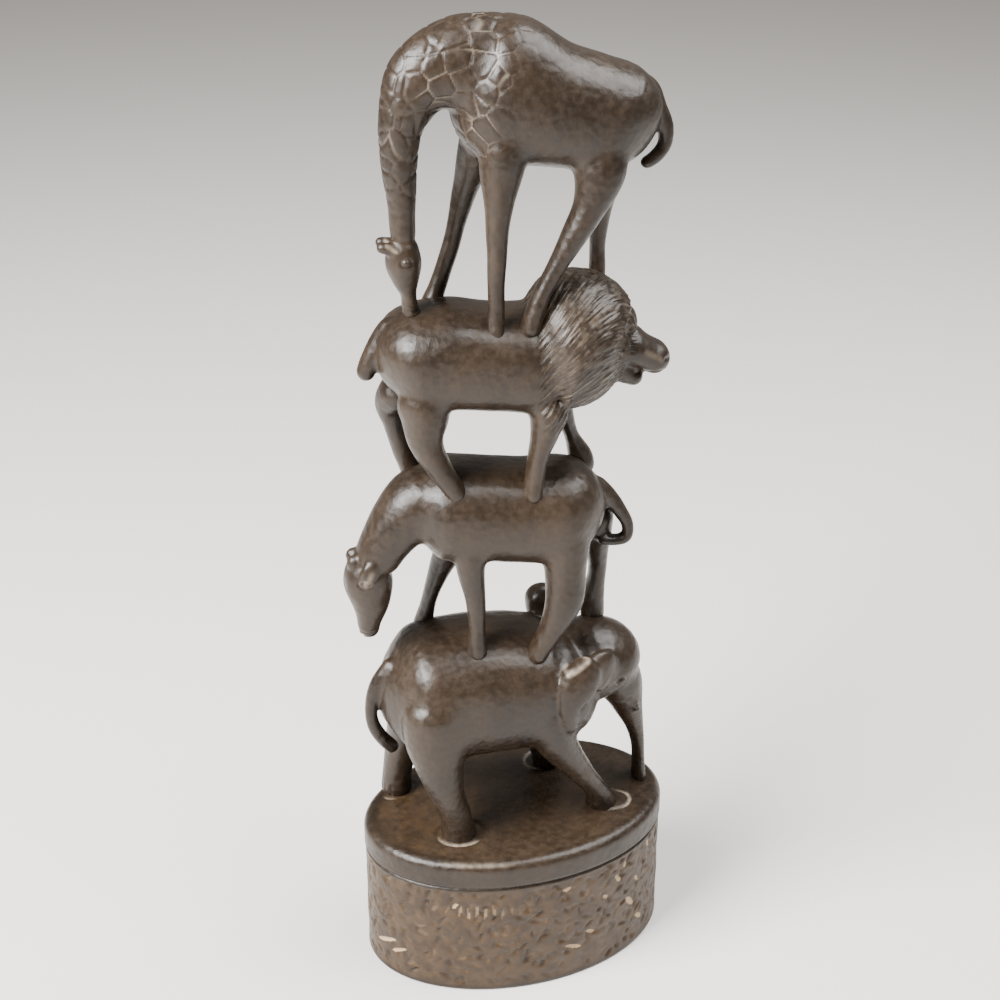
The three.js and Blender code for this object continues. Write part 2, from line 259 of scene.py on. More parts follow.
def piece(name, points, quads, layers, material):
    """A finished piece in the frame: its points in millimetres and its carving masks."""
    mesh = bpy.data.meshes.new(name)
    mesh.vertices.add(len(points))
    mesh.vertices.foreach_set("co", (points * MM).astype(np.float32).ravel())
    mesh.loops.add(quads.size)
    mesh.loops.foreach_set("vertex_index", quads.astype(np.int32).ravel())
    mesh.polygons.add(len(quads))
    mesh.polygons.foreach_set("loop_start", np.arange(0, quads.size, 4, dtype=np.int32))
    mesh.update(calc_edges=True)
    mesh.validate()
    for mask, values in layers.items():
        layer = mesh.attributes.new(mask, "FLOAT", "POINT")
        layer.data.foreach_set("value", values.astype(np.float32))
    mesh.shade_smooth()
    mesh.materials.append(material)
    made = bpy.data.objects.new(name, mesh)
    bpy.context.scene.collection.objects.link(made)
    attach(made, "root")
    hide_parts(NODE)
    return made


# Carving

def cell_edges(q, seeds):
    """How far each point of q is from the border of its nearest seed's cell, and that seed.

    The squared distances to the two nearest seeds differ by twice the seeds' own distance
    times this.
    """
    edge = np.empty(len(q))
    home = np.empty(len(q), int)
    for a in range(0, len(q), BATCH):
        part = q[a:a + BATCH]
        square = ((part[:, None] - seeds[None]) ** 2).sum(2)
        two = np.argpartition(square, 1, axis=1)[:, :2]
        near = np.take_along_axis(square, two, 1)
        order = np.argsort(near, axis=1)
        two = np.take_along_axis(two, order, 1)
        near = np.take_along_axis(near, order, 1)
        apart = np.linalg.norm(seeds[two[:, 0]] - seeds[two[:, 1]], axis=1)
        edge[a:a + BATCH] = (near[:, 1] - near[:, 0]) / (2 * apart)
        home[a:a + BATCH] = two[:, 0]
    return edge, home


def fade(values, low, high):
    """0 below low, 1 above high, an even smooth rise between."""
    share = np.clip((values - low) / (high - low), 0, 1)
    return share * share * (3 - 2 * share)


def knife_facets(p, size, depth):
    """The slight waviness that a knife leaves: one sine wave times another, plus half of a third."""
    x, y, z = p.T / size
    wave = np.sin(x + 1.3 * np.sin(z)) * np.sin(1.2 * z + np.sin(1.7 * y))
    return depth * (wave + 0.5 * np.sin(2.3 * x - 1.9 * z + y))


def slit(p, a, b, width):
    """How deep each point lies in a knife line from a to b, seen from the side.

    It is 1 on the line and falls as a bell curve away from it.
    """
    a, b = np.array(a, float), np.array(b, float)
    side = p[:, [0, 2]]
    share = np.clip(((side - a) @ (b - a)) / ((b - a) @ (b - a)), 0, 1)
    gap = np.linalg.norm(side - a - share[:, None] * (b - a), axis=1)
    return np.exp(-(gap / width) ** 2)


def eye(p, at, middle, size):
    """A domed eye inside a cut ring, on both sides of the head: height and the ring's mask.

    The dome is a half ellipse over its size, and the ring a bell curve just outside it.
    """
    gap = np.hypot(p[:, 0] - at[0], 1.5 * (p[:, 2] - at[1])) / size
    flank = fade(np.abs(p[:, 1] - middle), 0.35 * at[2], 0.6 * at[2])
    dome = np.sqrt(np.clip(1 - gap ** 2, 0, 1))
    ring = np.exp(-((gap - 1.25) / 0.28) ** 2)
    return (0.9 * dome - 0.9 * ring) * flank, ring * flank


# The back edge of the elephant's near ear, as x and z
EAR_EDGE = [(21, 108), (16, 98), (16, 84), (19, 72)]


def carve_elephant(p):
    """Eyes, mouth, toes, folds across the trunk, a cut behind the near ear, and a ridge on that ear's top
    rim with a painted highlight along it.

    A fold or a cut between toes is the 8th or 6th power of a wave along the trunk or foot.
    """
    height, ring = eye(p, (64.0, 92.0, 24.0), 2.0, 3.4)
    front = fade(p[:, 0], 58, 66)
    mouth = slit(p, (66, 68), (74, 72), 1.1) * front
    fold = np.sin(p[:, 2] * 1.05 - 0.25 * p[:, 0]) ** 8 * fade(p[:, 0], 72, 78) * fade(80 - p[:, 2], 0, 14)
    toes = np.cos(p[:, 1] * 0.9) ** 6 * fade(9 - p[:, 2], 0, 4) * fade(p[:, 2], -2, 0)
    near = fade(-24 - p[:, 1], 0, 5)
    rim = sum(slit(p, a, b, 1.8) for a, b in zip(EAR_EDGE[:-1], EAR_EDGE[1:]))
    # The near ear's top rim: a raised ridge, painted pale as a highlight
    crown = slit(p, (24, 112), (44, 121), 1.8) * near
    height = height - 1.0 * mouth - 0.35 * fold - 0.5 * toes - 0.5 * rim * near
    height = height + 0.5 * crown + knife_facets(p, 9.0, 0.16)
    return height, {"pale": 0.5 * ring + 0.3 * mouth + 0.6 * crown}


def carve_antelope(p):
    """Eyes, nostrils, mouth, and a painted highlight on the ears."""
    height, ring = eye(p, (-92.0, 43.0, 14.0), -5.0, 3.0)
    muzzle = fade(14 - p[:, 2], 0, 4) * fade(-80 - p[:, 0], 0, 4)
    mouth = slit(p, (-99, 5), (-87, 7), 0.9) * muzzle
    nostril = slit(p, (-95, 1.5), (-93.5, 3.5), 1.0) * muzzle
    height = height - 0.8 * mouth - 0.8 * nostril + knife_facets(p, 8.0, 0.16)
    # Painted highlight along each ear
    ear = slit(p, (-88, 50), (-91, 43), 2.6) * fade(np.abs(p[:, 1] + 5), 12, 15)
    return height, {"pale": 0.4 * ring + 0.3 * mouth + 0.45 * ear}


# The mane: how wide and long a lock is, and where the mane ends on the lion's back
LOCK_WIDE = 3.6
LOCK_LONG = 17.0
MANE_BACK = 6.0


def hair_lines(p):
    """Where a point lies in the mane: across the locks, and along them from the face back.

    Going round the head from its crown is across. Locks droop by more the further they go back.
    """
    turned = np.arctan2(np.abs(p[:, 1] + 2), p[:, 2] - 64)
    back = 62 - p[:, 0] + 0.25 * (p[:, 2] - 66)
    behind = np.maximum(back, 0)
    return 38 * turned - 0.12 * back - 0.0135 * behind ** 2, back


def in_mane(p):
    """1 on the mane and 0 on the back, belly, legs and muzzle."""
    line = MANE_BACK - 0.10 * (p[:, 2] - 70)
    behind = fade(p[:, 0], line, line + 6)
    muzzle = fade(np.linalg.norm((p - [80, -2, 64]) / [24, 21, 24], axis=1), 0.88, 1.04)
    return behind * muzzle * fade(p[:, 2], 24, 32)


def carve_lion(p):
    """The mane as long overlapping locks that fan back from the face, and the face itself.

    A lock is a long cell: its crest is rounded across, and it is a little higher at its tip.
    """
    mane = in_mane(p)
    across, back = hair_lines(p)
    rows = np.arange(-60, 150, LOCK_WIDE)
    columns = np.arange(-40, 90, LOCK_LONG)
    seeds = np.stack(np.meshgrid(rows, columns, indexing="ij"), -1)
    seeds[::2, :, 1] += LOCK_LONG / 2
    seeds = seeds.reshape(-1, 2) + RNG.uniform(-0.3, 0.3, (seeds.size // 2, 2)) * [LOCK_WIDE, LOCK_LONG]
    wave = 1.1 * np.sin(back / 6.5 + across / 9)
    q = np.column_stack([(across + wave) / LOCK_WIDE, back / LOCK_LONG])
    edge, home = cell_edges(q, seeds / [LOCK_WIDE, LOCK_LONG])
    own = RNG.random(len(seeds))[home]
    tip = q[:, 1] - seeds[home, 1] / LOCK_LONG
    crest = np.sqrt(fade(edge, 0, 0.42))
    locks = 1.05 * crest * (0.5 + 0.5 * own) + 0.5 * tip * crest - 0.9
    height = knife_facets(p, 8.0, 0.15) + mane * locks
    pale = mane * crest * (0.02 + 0.42 * fade(own, 0.80, 0.97))
    bump, ring = eye(p, (67.0, 84.0, 13.0), -2.0, 2.8)
    nostril = slit(p, (87, 65), (89.5, 64), 1.3) * fade(p[:, 0], 82, 85)
    lip = slit(p, (70, 56), (86, 57), 1.2) * fade(p[:, 0], 66, 72)
    cheek = slit(p, (74, 71), (84, 65), 2.5) * fade(p[:, 0], 70, 74)
    height = height + bump - 1.0 * nostril - 0.9 * lip + 0.4 * cheek
    hair = {"hair_across": across, "hair_back": back, "mane": mane}
    return height, {"pale": pale + 0.35 * ring + 0.35 * cheek, **hair}


# The giraffe's patches: how far apart their seeds are
PATCH = 11.5


def carve_giraffe(p):
    """The coat, a net of cut lines round patches, strongest on the neck; and the face.

    Seeds stand on an uneven grid, and a line runs wherever the two nearest are equally far.
    """
    axes = [np.arange(a - PATCH, b + PATCH, PATCH) for a, b in zip(p.min(0), p.max(0))]
    seeds = np.stack(np.meshgrid(*axes, indexing="ij"), -1).reshape(-1, 3)
    seeds = seeds + RNG.uniform(-0.36, 0.36, seeds.shape) * PATCH
    edge, _ = cell_edges(p, seeds)
    legs = fade(p[:, 0], -50, -44) * fade(94 - p[:, 2], 0, 12)
    coat = fade(p[:, 2] + 0.10 * p[:, 0], 46, 72) * (1 - legs)
    strong = 1 - 0.94 * fade(p[:, 0] + 0.25 * (110 - p[:, 2]), -30, 2)
    blotch = np.sin(p[:, 0] / 8 + 1) * np.sin(p[:, 2] / 9) + np.sin(p[:, 1] / 7)
    patchy = 0.35 + 0.65 * fade(blotch, -0.6, 0.9)
    line = np.exp(-(edge / 0.85) ** 2) * coat
    bump, ring = eye(p, (-62.5, 31.0, 11.0), -5.0, 2.4)
    mouth = slit(p, (-66, 1), (-57, 0.5), 0.8) * fade(6 - p[:, 2], 0, 2)
    height = -0.55 * line * (0.12 + 0.88 * strong) + bump - 0.6 * mouth + knife_facets(p, 9.0, 0.16)
    notch = slit(p, (-73, 40), (-68, 37), 1.5)
    pale = 0.62 * np.exp(-(edge / 0.62) ** 2) * coat * strong * patchy
    return height, {"pale": pale + 0.35 * ring + 0.6 * notch}


def crisp_elephant(p):
    """1 round the ears and tusks, under the chin and at the tail, where creases stay sharp."""
    ear = fade(np.abs(p[:, 1] - 1), 27, 31) * fade(p[:, 0], 12, 17) * fade(p[:, 2], 66, 72)
    chin = fade(p[:, 0], 34, 40) * fade(88 - p[:, 2], 0, 6)
    return 0.9 * np.maximum(np.maximum(ear, chin), fade(-78 - p[:, 0], 0, 5))


def crisp_lion(p):
    """1 on the face and at the tail, where creases stay sharp."""
    return 0.9 * np.maximum(fade(p[:, 0], 54, 62), fade(-72 - p[:, 0], 0, 4))


def crisp_head(p):
    """1 on the two heads that hang down, and at those figures' tails."""
    head = fade(-55 - p[:, 0], 0, 6) * fade(70 - p[:, 2], 0, 8)
    return 0.85 * np.maximum(head, fade(p[:, 0], 62, 68))


# The figures, as the solid has them

def elephant_limbs():
    """Trunk down to the base, ears flat against the shoulders."""
    tusk = [[71, -9, 76, 2.5, 3], [77, -11, 67, 2, 2.5], [81, -12, 60, 1.5, 1.5]]
    return [
        limb([[-86, 5, 88, 32, 32], [-66, 5, 88.3, 41, 40.3], [-40, 4, 90, 43.5, 42.5],
              [-8, 3, 89.5, 43.5, 42], [22, 2, 87, 40, 39], [40, 2, 91, 33, 32], [55, 2, 96, 24, 22]], 2.35),
        limb([[32, 2, 94, 24, 29], [52, 2, 97, 28, 27.5], [66, 2, 90, 26, 25], [75, 2, 80, 20, 19]], 2.1),
        limb([[60, 2, 98, 22, 19], [72, 2, 76, 17, 15], [78.5, 2, 57, 12, 9.5], [83.5, 2, 40, 9, 5.8],
              [86.3, 2, 25, 8, 4], [87.3, 2, 10, 7.5, 4], [88.3, 2, -6, 8, 5.5]]),
        limb([[-59, -22, 105, 20, 19.5], [-57, -25, 70, 17, 18.5], [-52, -26, 37, 14, 12],
              [-44.5, -26, 10, 12, 10], [-43, -26, -2, 12.5, 11.5], [-42.5, -26, -11, 12.5, 11.5]]),
        limb([[-59, 21, 79, 18, 16.5], [-64.5, 32, 39, 14, 11.5], [-69, 33, 16, 11, 9.5],
              [-70, 33, 2, 11, 10], [-70, 33, -9, 11, 10]]),
        limb([[16, -22, 92, 18, 17.5], [19.5, -24, 61, 15, 14], [36, -21, 32, 12, 8.8],
              [49.5, -19, 12, 11, 7], [54.5, -18, 1, 11, 9], [59, -17, -8.5, 11, 9]]),
        limb([[20, 20, 82, 18, 18], [24, 30, 52, 14, 13], [30, 33, 28, 11, 11],
              [34, 34, 8, 11, 11], [36, 34, -6, 11, 11]]),
        limb([[-74, 5, 114, 6, 6], [-86, 5, 98, 5, 5], [-90.5, 5, 84, 4.5, 4],
              [-90, 5, 71, 4.5, 4], [-84.5, 6, 59, 4.5, 4.5], [-75, 9, 46, 5, 4.5]]),
        limb([[43, -30, 115, 7, 7], [36, -34, 108, 7, 12], [29, -37, 99, 7, 12.5],
              [25, -37, 89, 7, 8], [25, -36, 78, 6, 6], [27, -35, 69, 5, 4.5]], 2.3),
        limb([[36, -33, 103, 6, 13], [48, -28, 105, 6, 14], [60, -21, 104, 6, 13]], 2.3),
        limb([[28, 36, 135, 9, 9], [30.5, 37, 120, 9, 11], [35, 37, 103, 9, 11.5],
              [40, 36, 90, 8, 10], [41, 34, 79, 8, 6.5]], 2.6),
        limb(tusk),
        limb(twin(tusk, 2)),
    ]


def antelope_limbs():
    """Head down to graze, tail curled back to the haunch."""
    ear = [[-84, -17, 57, 4, 4], [-88, -19, 50, 3, 6], [-91, -20, 41, 2.5, 2.5]]
    horn = [[-91, -9, 49, 4.5, 6], [-97, -10, 53, 4, 5.5], [-101, -10, 56, 3, 4]]
    return [
        limb([[-66, 0, 80, 26, 26], [-48, 0, 82, 33, 30], [-22, 0, 80, 34, 30],
              [4, 0, 77, 33, 30.5], [34, 0, 76, 32, 31.5], [55, 0, 72, 27, 29]], 2.35),
        limb([[-36, 0, 88, 26, 24], [-54.5, -2, 88, 23, 21.5], [-69, -4, 76, 19, 18],
              [-81, -5, 58, 16, 14.5], [-86.5, -5, 43, 15, 13]], 2.1),
        limb([[-91, -5, 57, 11, 10], [-89.3, -5, 39, 15.5, 15], [-88.3, -5, 23, 12.5, 11.5],
              [-89.5, -5, 10, 9, 7.3], [-90.5, -5, -0.5, 8, 6]], 2.2),
        limb([[-30, -20, 68, 14, 12], [-28.5, -22, 46, 9, 8], [-26, -22, 25, 7.5, 6],
              [-25.5, -22, 8, 7.5, 5.2], [-25.5, -22, -6, 9, 6.5], [-25.5, -22, -14.5, 9, 7.5]]),
        limb([[-31, 11, 62, 14, 12.5], [-42, 19, 33, 9, 7.5], [-49, 21, 12, 7.5, 4.8],
              [-53, 22, -5, 8, 5.5], [-55.5, 22, -17, 8, 7.5]]),
        limb([[29, -14, 76, 18, 16.5], [29, -18, 45, 14, 13], [27.5, -22, 24, 11, 11.5],
              [20, -22, 4, 9, 8], [12.5, -22, -10, 9, 6.5], [11, -22, -18, 9, 7]]),
        limb([[51, 10, 74, 16, 13.5], [55.5, 20, 42, 11, 8], [56.5, 22, 19, 8, 5.5],
              [54.5, 22, 2, 8.5, 7], [54, 22, -18, 9, 8]]),
        limb([[45, 2, 92, 8, 8], [57, 2, 82, 6, 6], [65.5, 2, 71, 5, 4.5], [70.5, 2, 61, 4.5, 3.8],
              [70, 2, 53, 4.5, 3.5], [62.5, 2, 51, 4.5, 3.3], [52, 2, 52, 4.5, 3]]),
        limb(ear),
        limb(twin(ear, -5)),
        limb(horn),
        limb(twin(horn, -5)),
    ]


def lion_limbs():
    """A heavy mane and an open mouth."""
    ear = [[50, -22, 103, 4.5, 5], [49, -25, 95, 4, 5.5], [48, -26, 88, 3, 3.5]]
    return [
        limb([[-78, 0, 59.5, 24, 21], [-62, 0, 67, 33, 28.5], [-44, 0, 71, 36, 30],
              [-14, 0, 68, 36, 29.5], [14, 0, 66, 36, 30.5], [36, 0, 66, 32, 30]], 2.5),
        limb([[2, 0, 70, 30, 30], [18, 0, 73.5, 39, 39.5], [34, 0, 74, 40, 43], [47, 0, 65.5, 35, 38],
              [64, 0, 57, 28, 33]], 2.1, 64),
        limb([[-57, -14, 61, 20, 17], [-54.5, -19, 42, 16, 14.5], [-54.5, -22, 27, 12, 10.5],
              [-47.5, -23, 10, 10, 7.5], [-39, -22, -5, 9, 6.5], [-35, -22, -14, 9, 6.5]]),
        limb([[-60, 10, 51, 18, 14], [-71.5, 20, 34, 11, 9], [-69.5, 21, 22, 9, 6.8],
              [-66.5, 21, 10, 9, 6.5], [-61, 21, -7, 9, 6.5], [-57, 21, -20, 9, 6.5]]),
        limb([[19, -20, 49, 18, 14], [15, -22, 29, 11, 9], [11.5, -22, 15, 9, 6.3],
              [9, -22, 0, 8, 5.7], [8, -22, -10.5, 8.5, 6], [7.5, -22, -17.5, 8.5, 6]]),
        limb([[18, 14, 58, 17, 14], [24, 18, 40, 15, 12.5], [32.5, 20, 21, 10, 6.5],
              [38.5, 21, 5, 7.5, 4.5], [44, 22, -9, 9, 7.5], [46, 22, -22, 9, 8]]),
        limb([[50, -2, 86, 18, 14], [60, -2, 86, 17, 12], [71, -2, 83.5, 13, 9.5]]),
        limb([[57, -2, 78, 18, 15], [72, -2, 68.5, 14, 10.3], [81, -2, 63.5, 12, 9.8],
              [91.3, -2, 61, 11, 8.6]], 2.3),
        limb([[52, -2, 65, 14, 11.5], [62, -2, 57, 11, 8], [68.5, -2, 53, 9, 6.3],
              [75, -2, 50, 8, 4.8]], 2.2),
        limb([[-64, 0, 92, 10, 9.5], [-74.5, 0, 80, 8, 8.7], [-83, 0, 68.5, 7, 6.3], [-88, 0, 57, 6, 5]]),
        limb(ear),
        limb(twin(ear, -2)),
    ]


def giraffe_limbs():
    """The neck bent down so that the muzzle meets the lion's rump."""
    ear = [[-63, -9, 35, 5, 5], [-71, -10, 37.5, 4, 3.8], [-78.5, -10, 39, 3, 2.8]]
    return [
        limb([[-36, 0, 129, 22, 26], [-22, 0, 125, 29, 36], [-6, 0, 121.5, 33, 40],
              [18, 0, 113.5, 34, 34.5], [42, 0, 107.5, 33, 31.5], [62, 0, 99.5, 29, 32],
              [76, 0, 91, 22, 28]], 2.35),
        limb([[18, 0, 120, 20, 26], [-8, 0, 130, 24, 31.5], [-32.5, -1, 135, 21, 26.3],
              [-52, -3, 127.5, 17.5, 20], [-62.6, -4, 105.5, 14, 12.8], [-64.3, -5, 82, 11, 10],
              [-63.5, -5, 58, 9, 7.7], [-63.3, -5, 38, 8.5, 6.8]], 2.1),
        limb([[-63.7, -5, 44, 9, 6.8], [-63.3, -5, 28, 11.5, 10.3], [-62.3, -5, 17.5, 9, 7.5],
              [-61, -5, 9.5, 7, 4.5], [-60, -5, 1, 7, 4.8], [-57, -5, -9, 7, 5.5]]),
        limb([[-7, -15, 106, 18, 16], [-10, -18, 80, 13, 12], [-12, -21, 63, 9, 8.2],
              [-13, -22, 41, 6.5, 6.0], [-13.5, -22, 21, 5.5, 5.0], [-13.6, -22, 0, 5.5, 4.9],
              [-13.8, -22, -12, 7, 5], [-13.8, -22, -19, 7, 5]]),
        limb([[-14, 10, 104, 16, 14], [-24.6, 20, 64, 9, 7.8], [-29.7, 20, 45, 6.5, 5.7],
              [-34.4, 20, 27, 6, 5.1], [-41.6, 20, 5, 6, 5.2], [-45.5, 20, -5, 8, 6],
              [-47.5, 20, -12, 8, 6]]),
        limb([[44, -13, 96, 18, 18], [43.7, -19, 78, 14, 14.5], [38.3, -21, 61, 11, 9.7],
              [28.3, -22, 42, 8.5, 7], [19, -22, 25, 7, 5.3], [10.3, -22, 7, 7, 5.3],
              [6, -22, -7, 8, 6], [5, -22, -14, 8, 6]]),
        limb([[50, 9, 85, 16, 15], [53.3, 18, 58, 11, 8], [52.3, 20, 42, 8, 5.5],
              [51.2, 20, 25, 6, 4.7], [51.2, 20, 11, 6.5, 4.8], [50.7, 20, -3, 7, 5.2]]),
        limb([[57, 0, 120, 12, 10], [69, 0, 117, 10, 11], [78, 0, 107, 7, 7], [83.7, 0, 97, 5.5, 4.8],
              [83.7, 0, 88, 5, 4], [78.5, 0, 81, 5, 3.8], [71, 0, 76.5, 4.5, 3.2]]),
        limb(ear),
        limb(twin(ear, -5)),
    ]


def placed(points, feet, turn):
    """A figure's own millimetres turned about the upright and stood at its height."""
    a = np.radians(turn)
    x = np.cos(a) * points[:, 0] - np.sin(a) * points[:, 1] + FIGURES_ASIDE
    y = np.sin(a) * points[:, 0] + np.cos(a) * points[:, 1]
    return np.stack([x, y, points[:, 2] + feet], 1)


def make_figure(name, limbs, carve, crisp, material, voxel):
    """One animal: its limbs fused and softened, carved along its normals, and placed."""
    points, quads = fused(limbs, voxel)
    points = softened(points, quads, crisp, corners=16, flanks=70, polish=4)
    height, layers = carve(points)
    points = points + normals_of(points, quads) * height[:, None]
    points = placed(points, **FIGURES[name])
    points = np.clip(points, *(np.array(corner) / MM for corner in cad_box))
    return piece(name, points, quads, layers, material)


# The base

# Each foot on the base: middle, half widths, and which way the painted highlight on its ring points, in
# degrees
FEET_ON_BASE = [(-45, -24, 13.5, 11.5, -120), (58, -23, 12, 10, -10),
                (-70, 37, 12, 10, -170), (34, 35, 12, 10, 180)]

# Chips that show fresh wood: degrees round the oval, height, lean, half length and half width
CHIPS = [(-164, 23, 66, 12.0, 2.0), (-155, 20, 64, 8.0, 1.7), (-84, 70, 75, 4.0, 1.8),
         (-52, 37, -40, 7.0, 2.6), (-45, 19, -50, 6.0, 2.2), (-73, 30, -65, 5.0, 1.8),
         (-80.5, 23, -70, 8.0, 1.8), (-39, 72, -20, 4.0, 2.0), (-60, 62, -30, 4.5, 2.0),
         (-66, 52, -45, 4.0, 1.8), (-56, 70, 20, 3.5, 1.6), (-127, 66, 30, 3.0, 1.6),
         (-48, 52, -35, 4.0, 1.7), (40, 30, 50, 5.0, 1.7), (95, 60, -50, 4.5, 1.8),
         (140, 25, 60, 5.0, 1.8), (10, 60, -20, 4.5, 1.8)]
CHIP_DEPTH = 1.1
CHIP_FRESH = 0.95

# The other cuts: how many rows, how far apart along a row, and the upright commas' angles
GOUGE_ROWS = 11
GOUGE_PITCH = 7.5
COMMAS = np.arange(-125, -96, 3.3)

# The groove under the rim: inset from the oval, and height above the band's top
GROOVE = [(0.4, -2.2), (1.3, -1.6), (1.6, -1.0), (1.3, -0.4), (0.3, 0.2)]


def oval_length(degrees):
    """The length round the oval from its +X end to an angle, by summing 1440 short chords."""
    a = np.linspace(0, 2 * np.pi, 1441)
    chord = np.hypot(np.diff(HALF_LENGTH * np.cos(a)), np.diff(HALF_DEPTH * np.sin(a)))
    return np.interp(np.radians(np.mod(degrees, 360)), a, np.concatenate([[0], np.cumsum(chord)]))


def gouge_table(around, top):
    """The cuts as rows: place round the oval, height, lean, half length, half width, depth, freshness.

    Most stand in uneven rows and lean either way. A row of upright commas is cut across the
    front, and the chips come last.
    """
    columns = int(around / GOUGE_PITCH)
    i, j = (a.ravel() for a in np.meshgrid(np.arange(GOUGE_ROWS), np.arange(columns), indexing="ij"))
    count = len(i)
    s = (j + 0.5 * (i % 2) + RNG.uniform(-0.45, 0.45, count)) * around / columns
    z = 5 + (i + 0.5 + RNG.uniform(-0.45, 0.45, count)) * (top - 8) / GOUGE_ROWS
    lean = RNG.choice([-1, 1], count) * RNG.uniform(5, 80, count)
    uneven = [s, z, lean, RNG.uniform(2.6, 5.4, count), RNG.uniform(1.2, 2.6, count),
              RNG.uniform(0.3, 1.5, count) ** 1.3, 0.42 * RNG.random(count) ** 2]
    ones = np.ones(len(COMMAS))
    commas = [oval_length(COMMAS), 61 + 1.2 * np.sin(COMMAS), 14 * np.sin(COMMAS * 3), 6.2 * ones,
              1.5 * ones, 1.3 * ones, 0.45 + 0.15 * np.sin(COMMAS * 2)]
    place, *shape = np.array(CHIPS).T
    chips = [oval_length(place), *shape, CHIP_DEPTH + 0 * place, CHIP_FRESH + 0 * place]
    return np.hstack([np.array(uneven), np.array(commas), np.array(chips)]).T


def gouge_marks(along, up, around, top):
    """The band's cuts over a grid of the band: their depth and how fresh the wood in them is.

    Each is an ellipse whose floor is a paraboloid, deeper at its upper end, and where two cross
    the deeper one holds.
    """
    depth = np.zeros_like(along)
    fresh = np.zeros_like(along)
    for s, z, lean, long, wide, deep, bright in gouge_table(around, top):
        lean = np.radians(lean)
        ds = (along - s + around / 2) % around - around / 2
        dz = up - z
        u = (ds * np.sin(lean) + dz * np.cos(lean)) / long
        v = (ds * np.cos(lean) - dz * np.sin(lean)) / wide
        bowl = np.clip(1 - u * u - v * v, 0, 1) * (1 + 0.5 * u)
        depth = np.maximum(depth, deep * bowl)
        fresh = np.maximum(fresh, bright * fade(bowl, 0.1, 0.5))
    return depth, fresh


def make_base(material):
    """The oval base: rows of [share of the oval, inset from it, height] carried round it.

    The band is moved in by its cuts and a slow waviness, and the top down in rings round the
    feet and by two crossed waves.
    """
    band_top = BASE_HEIGHT - RIM_HEIGHT
    quarter = np.linspace(0, np.pi / 2, 10)
    under = [[k, FOOT_ROUND + RIM_PROUD, 0] for k in np.linspace(0, 1, 5)]
    foot = [[1, RIM_PROUD + FOOT_ROUND * (1 - np.sin(a)), FOOT_ROUND * (1 - np.cos(a))]
            for a in quarter[1:]]
    band = [[1, RIM_PROUD, z] for z in np.arange(FOOT_ROUND + BAND_STEP, band_top - 2.5, BAND_STEP)]
    groove = [[1, inset, band_top + z] for inset, z in GROOVE]
    rim = [[1, 0, z] for z in np.arange(band_top + 1, BASE_HEIGHT - RIM_ROUND, 1.0)]
    edge = [[1, RIM_ROUND * (1 - np.cos(a)), BASE_HEIGHT - RIM_ROUND * (1 - np.sin(a))]
            for a in quarter]
    top = [[k, RIM_ROUND, BASE_HEIGHT] for k in np.linspace(1, 0, 70)[1:]]
    row = np.array(under + foot + band + groove + rim + edge + top)
    angle = np.linspace(0, 2 * np.pi, BASE_SIDES, endpoint=False)
    share, inset, z = (row[:, i][:, None] for i in range(3))
    x = share * (HALF_LENGTH - inset) * np.cos(angle)
    y = share * (HALF_DEPTH - inset) * np.sin(angle)
    z = z + 0 * x
    out = np.stack([np.cos(angle) / HALF_LENGTH, np.sin(angle) / HALF_DEPTH])
    out = out / np.linalg.norm(out, axis=0)
    along = oval_length(np.degrees(angle))
    around = oval_length(359.999)
    depth, fresh = gouge_marks(along + 0 * x, z, around, band_top)
    in_band = ((share == 1) & (inset == RIM_PROUD)) * fade(z, 1.5, 5) * fade(band_top - z, 2, 5)
    wavy = 0.5 + 0.25 * np.sin(along / 5.1 + np.sin(z / 7)) + 0.25 * np.sin(z / 4.3 + along / 11)
    sunk = in_band * (depth + 0.5 * wavy)
    x = x - out[0] * sunk
    y = y - out[1] * sunk
    on_top = (z >= BASE_HEIGHT - 0.01) * fade(1 - share, 0, 0.06)
    pale = np.zeros_like(x)
    for fx, fy, rx, ry, bright in FEET_ON_BASE:
        gap = np.hypot((x - fx) / rx, (y - fy) / ry)
        round_foot = np.arctan2((y - fy) / ry, (x - fx) / rx) - np.radians(bright)
        ring = np.exp(-((gap - 1.10) / 0.12) ** 2) * on_top
        z = z - 1.1 * ring
        # Painted highlight: the ring is made pale on one side only, where light would catch it
        pale = np.maximum(pale, ring * fade(np.cos(round_foot), -0.1, 1.0) * 0.75)
    z = z - on_top * (0.25 + 0.25 * np.sin(x / 9) * np.sin(y / 8 + 1))
    # The rim's rounded top edge is paler in stretches round the oval: partly wear, partly a painted
    # highlight
    worn_and_lit_edge = np.exp(-((z - (BASE_HEIGHT - 1.4)) / 1.3) ** 2) * (inset < RIM_ROUND) * (share == 1)
    groove_line = np.exp(-((z - (band_top - 1.0)) / 0.8) ** 2) * (share == 1)
    wear_and_sheen = fade(np.sin(along / 31 + 2.4) + 0.6 * np.sin(along / 13), -0.4, 1.2)
    pale = np.maximum(pale, 0.45 * worn_and_lit_edge * wear_and_sheen)
    pale = np.maximum(pale, 0.35 * groove_line * wear_and_sheen)
    # Painted light: the top is tinted lighter and more golden, most towards its -X end, for the light
    # falling on it
    cut = in_band * (0.45 + 0.55 * fresh) + on_top * (0.10 + 0.18 * fade(-x, 20, 75))
    points = np.stack([x, y, z], -1).reshape(-1, 3)
    quads = ring_faces(len(row), BASE_SIDES)
    return piece("base", points, quads, {"pale": pale.ravel(), "cut": cut.ravel()}, material)


# Wax and wood

class Wire:
    """A node's output that can be added and multiplied, each time by a Math node of its own."""

    def __init__(self, wood, socket):
        self.wood = wood
        self.socket = socket

    def math(self, operation, *values):
        node = self.wood.node("ShaderNodeMath", {"operation": operation}, dict(enumerate(values)))
        return Wire(self.wood, node.outputs[0])

    def __add__(self, other):
        return self.math("ADD", self, other)

    def __mul__(self, other):
        return self.math("MULTIPLY", self, other)


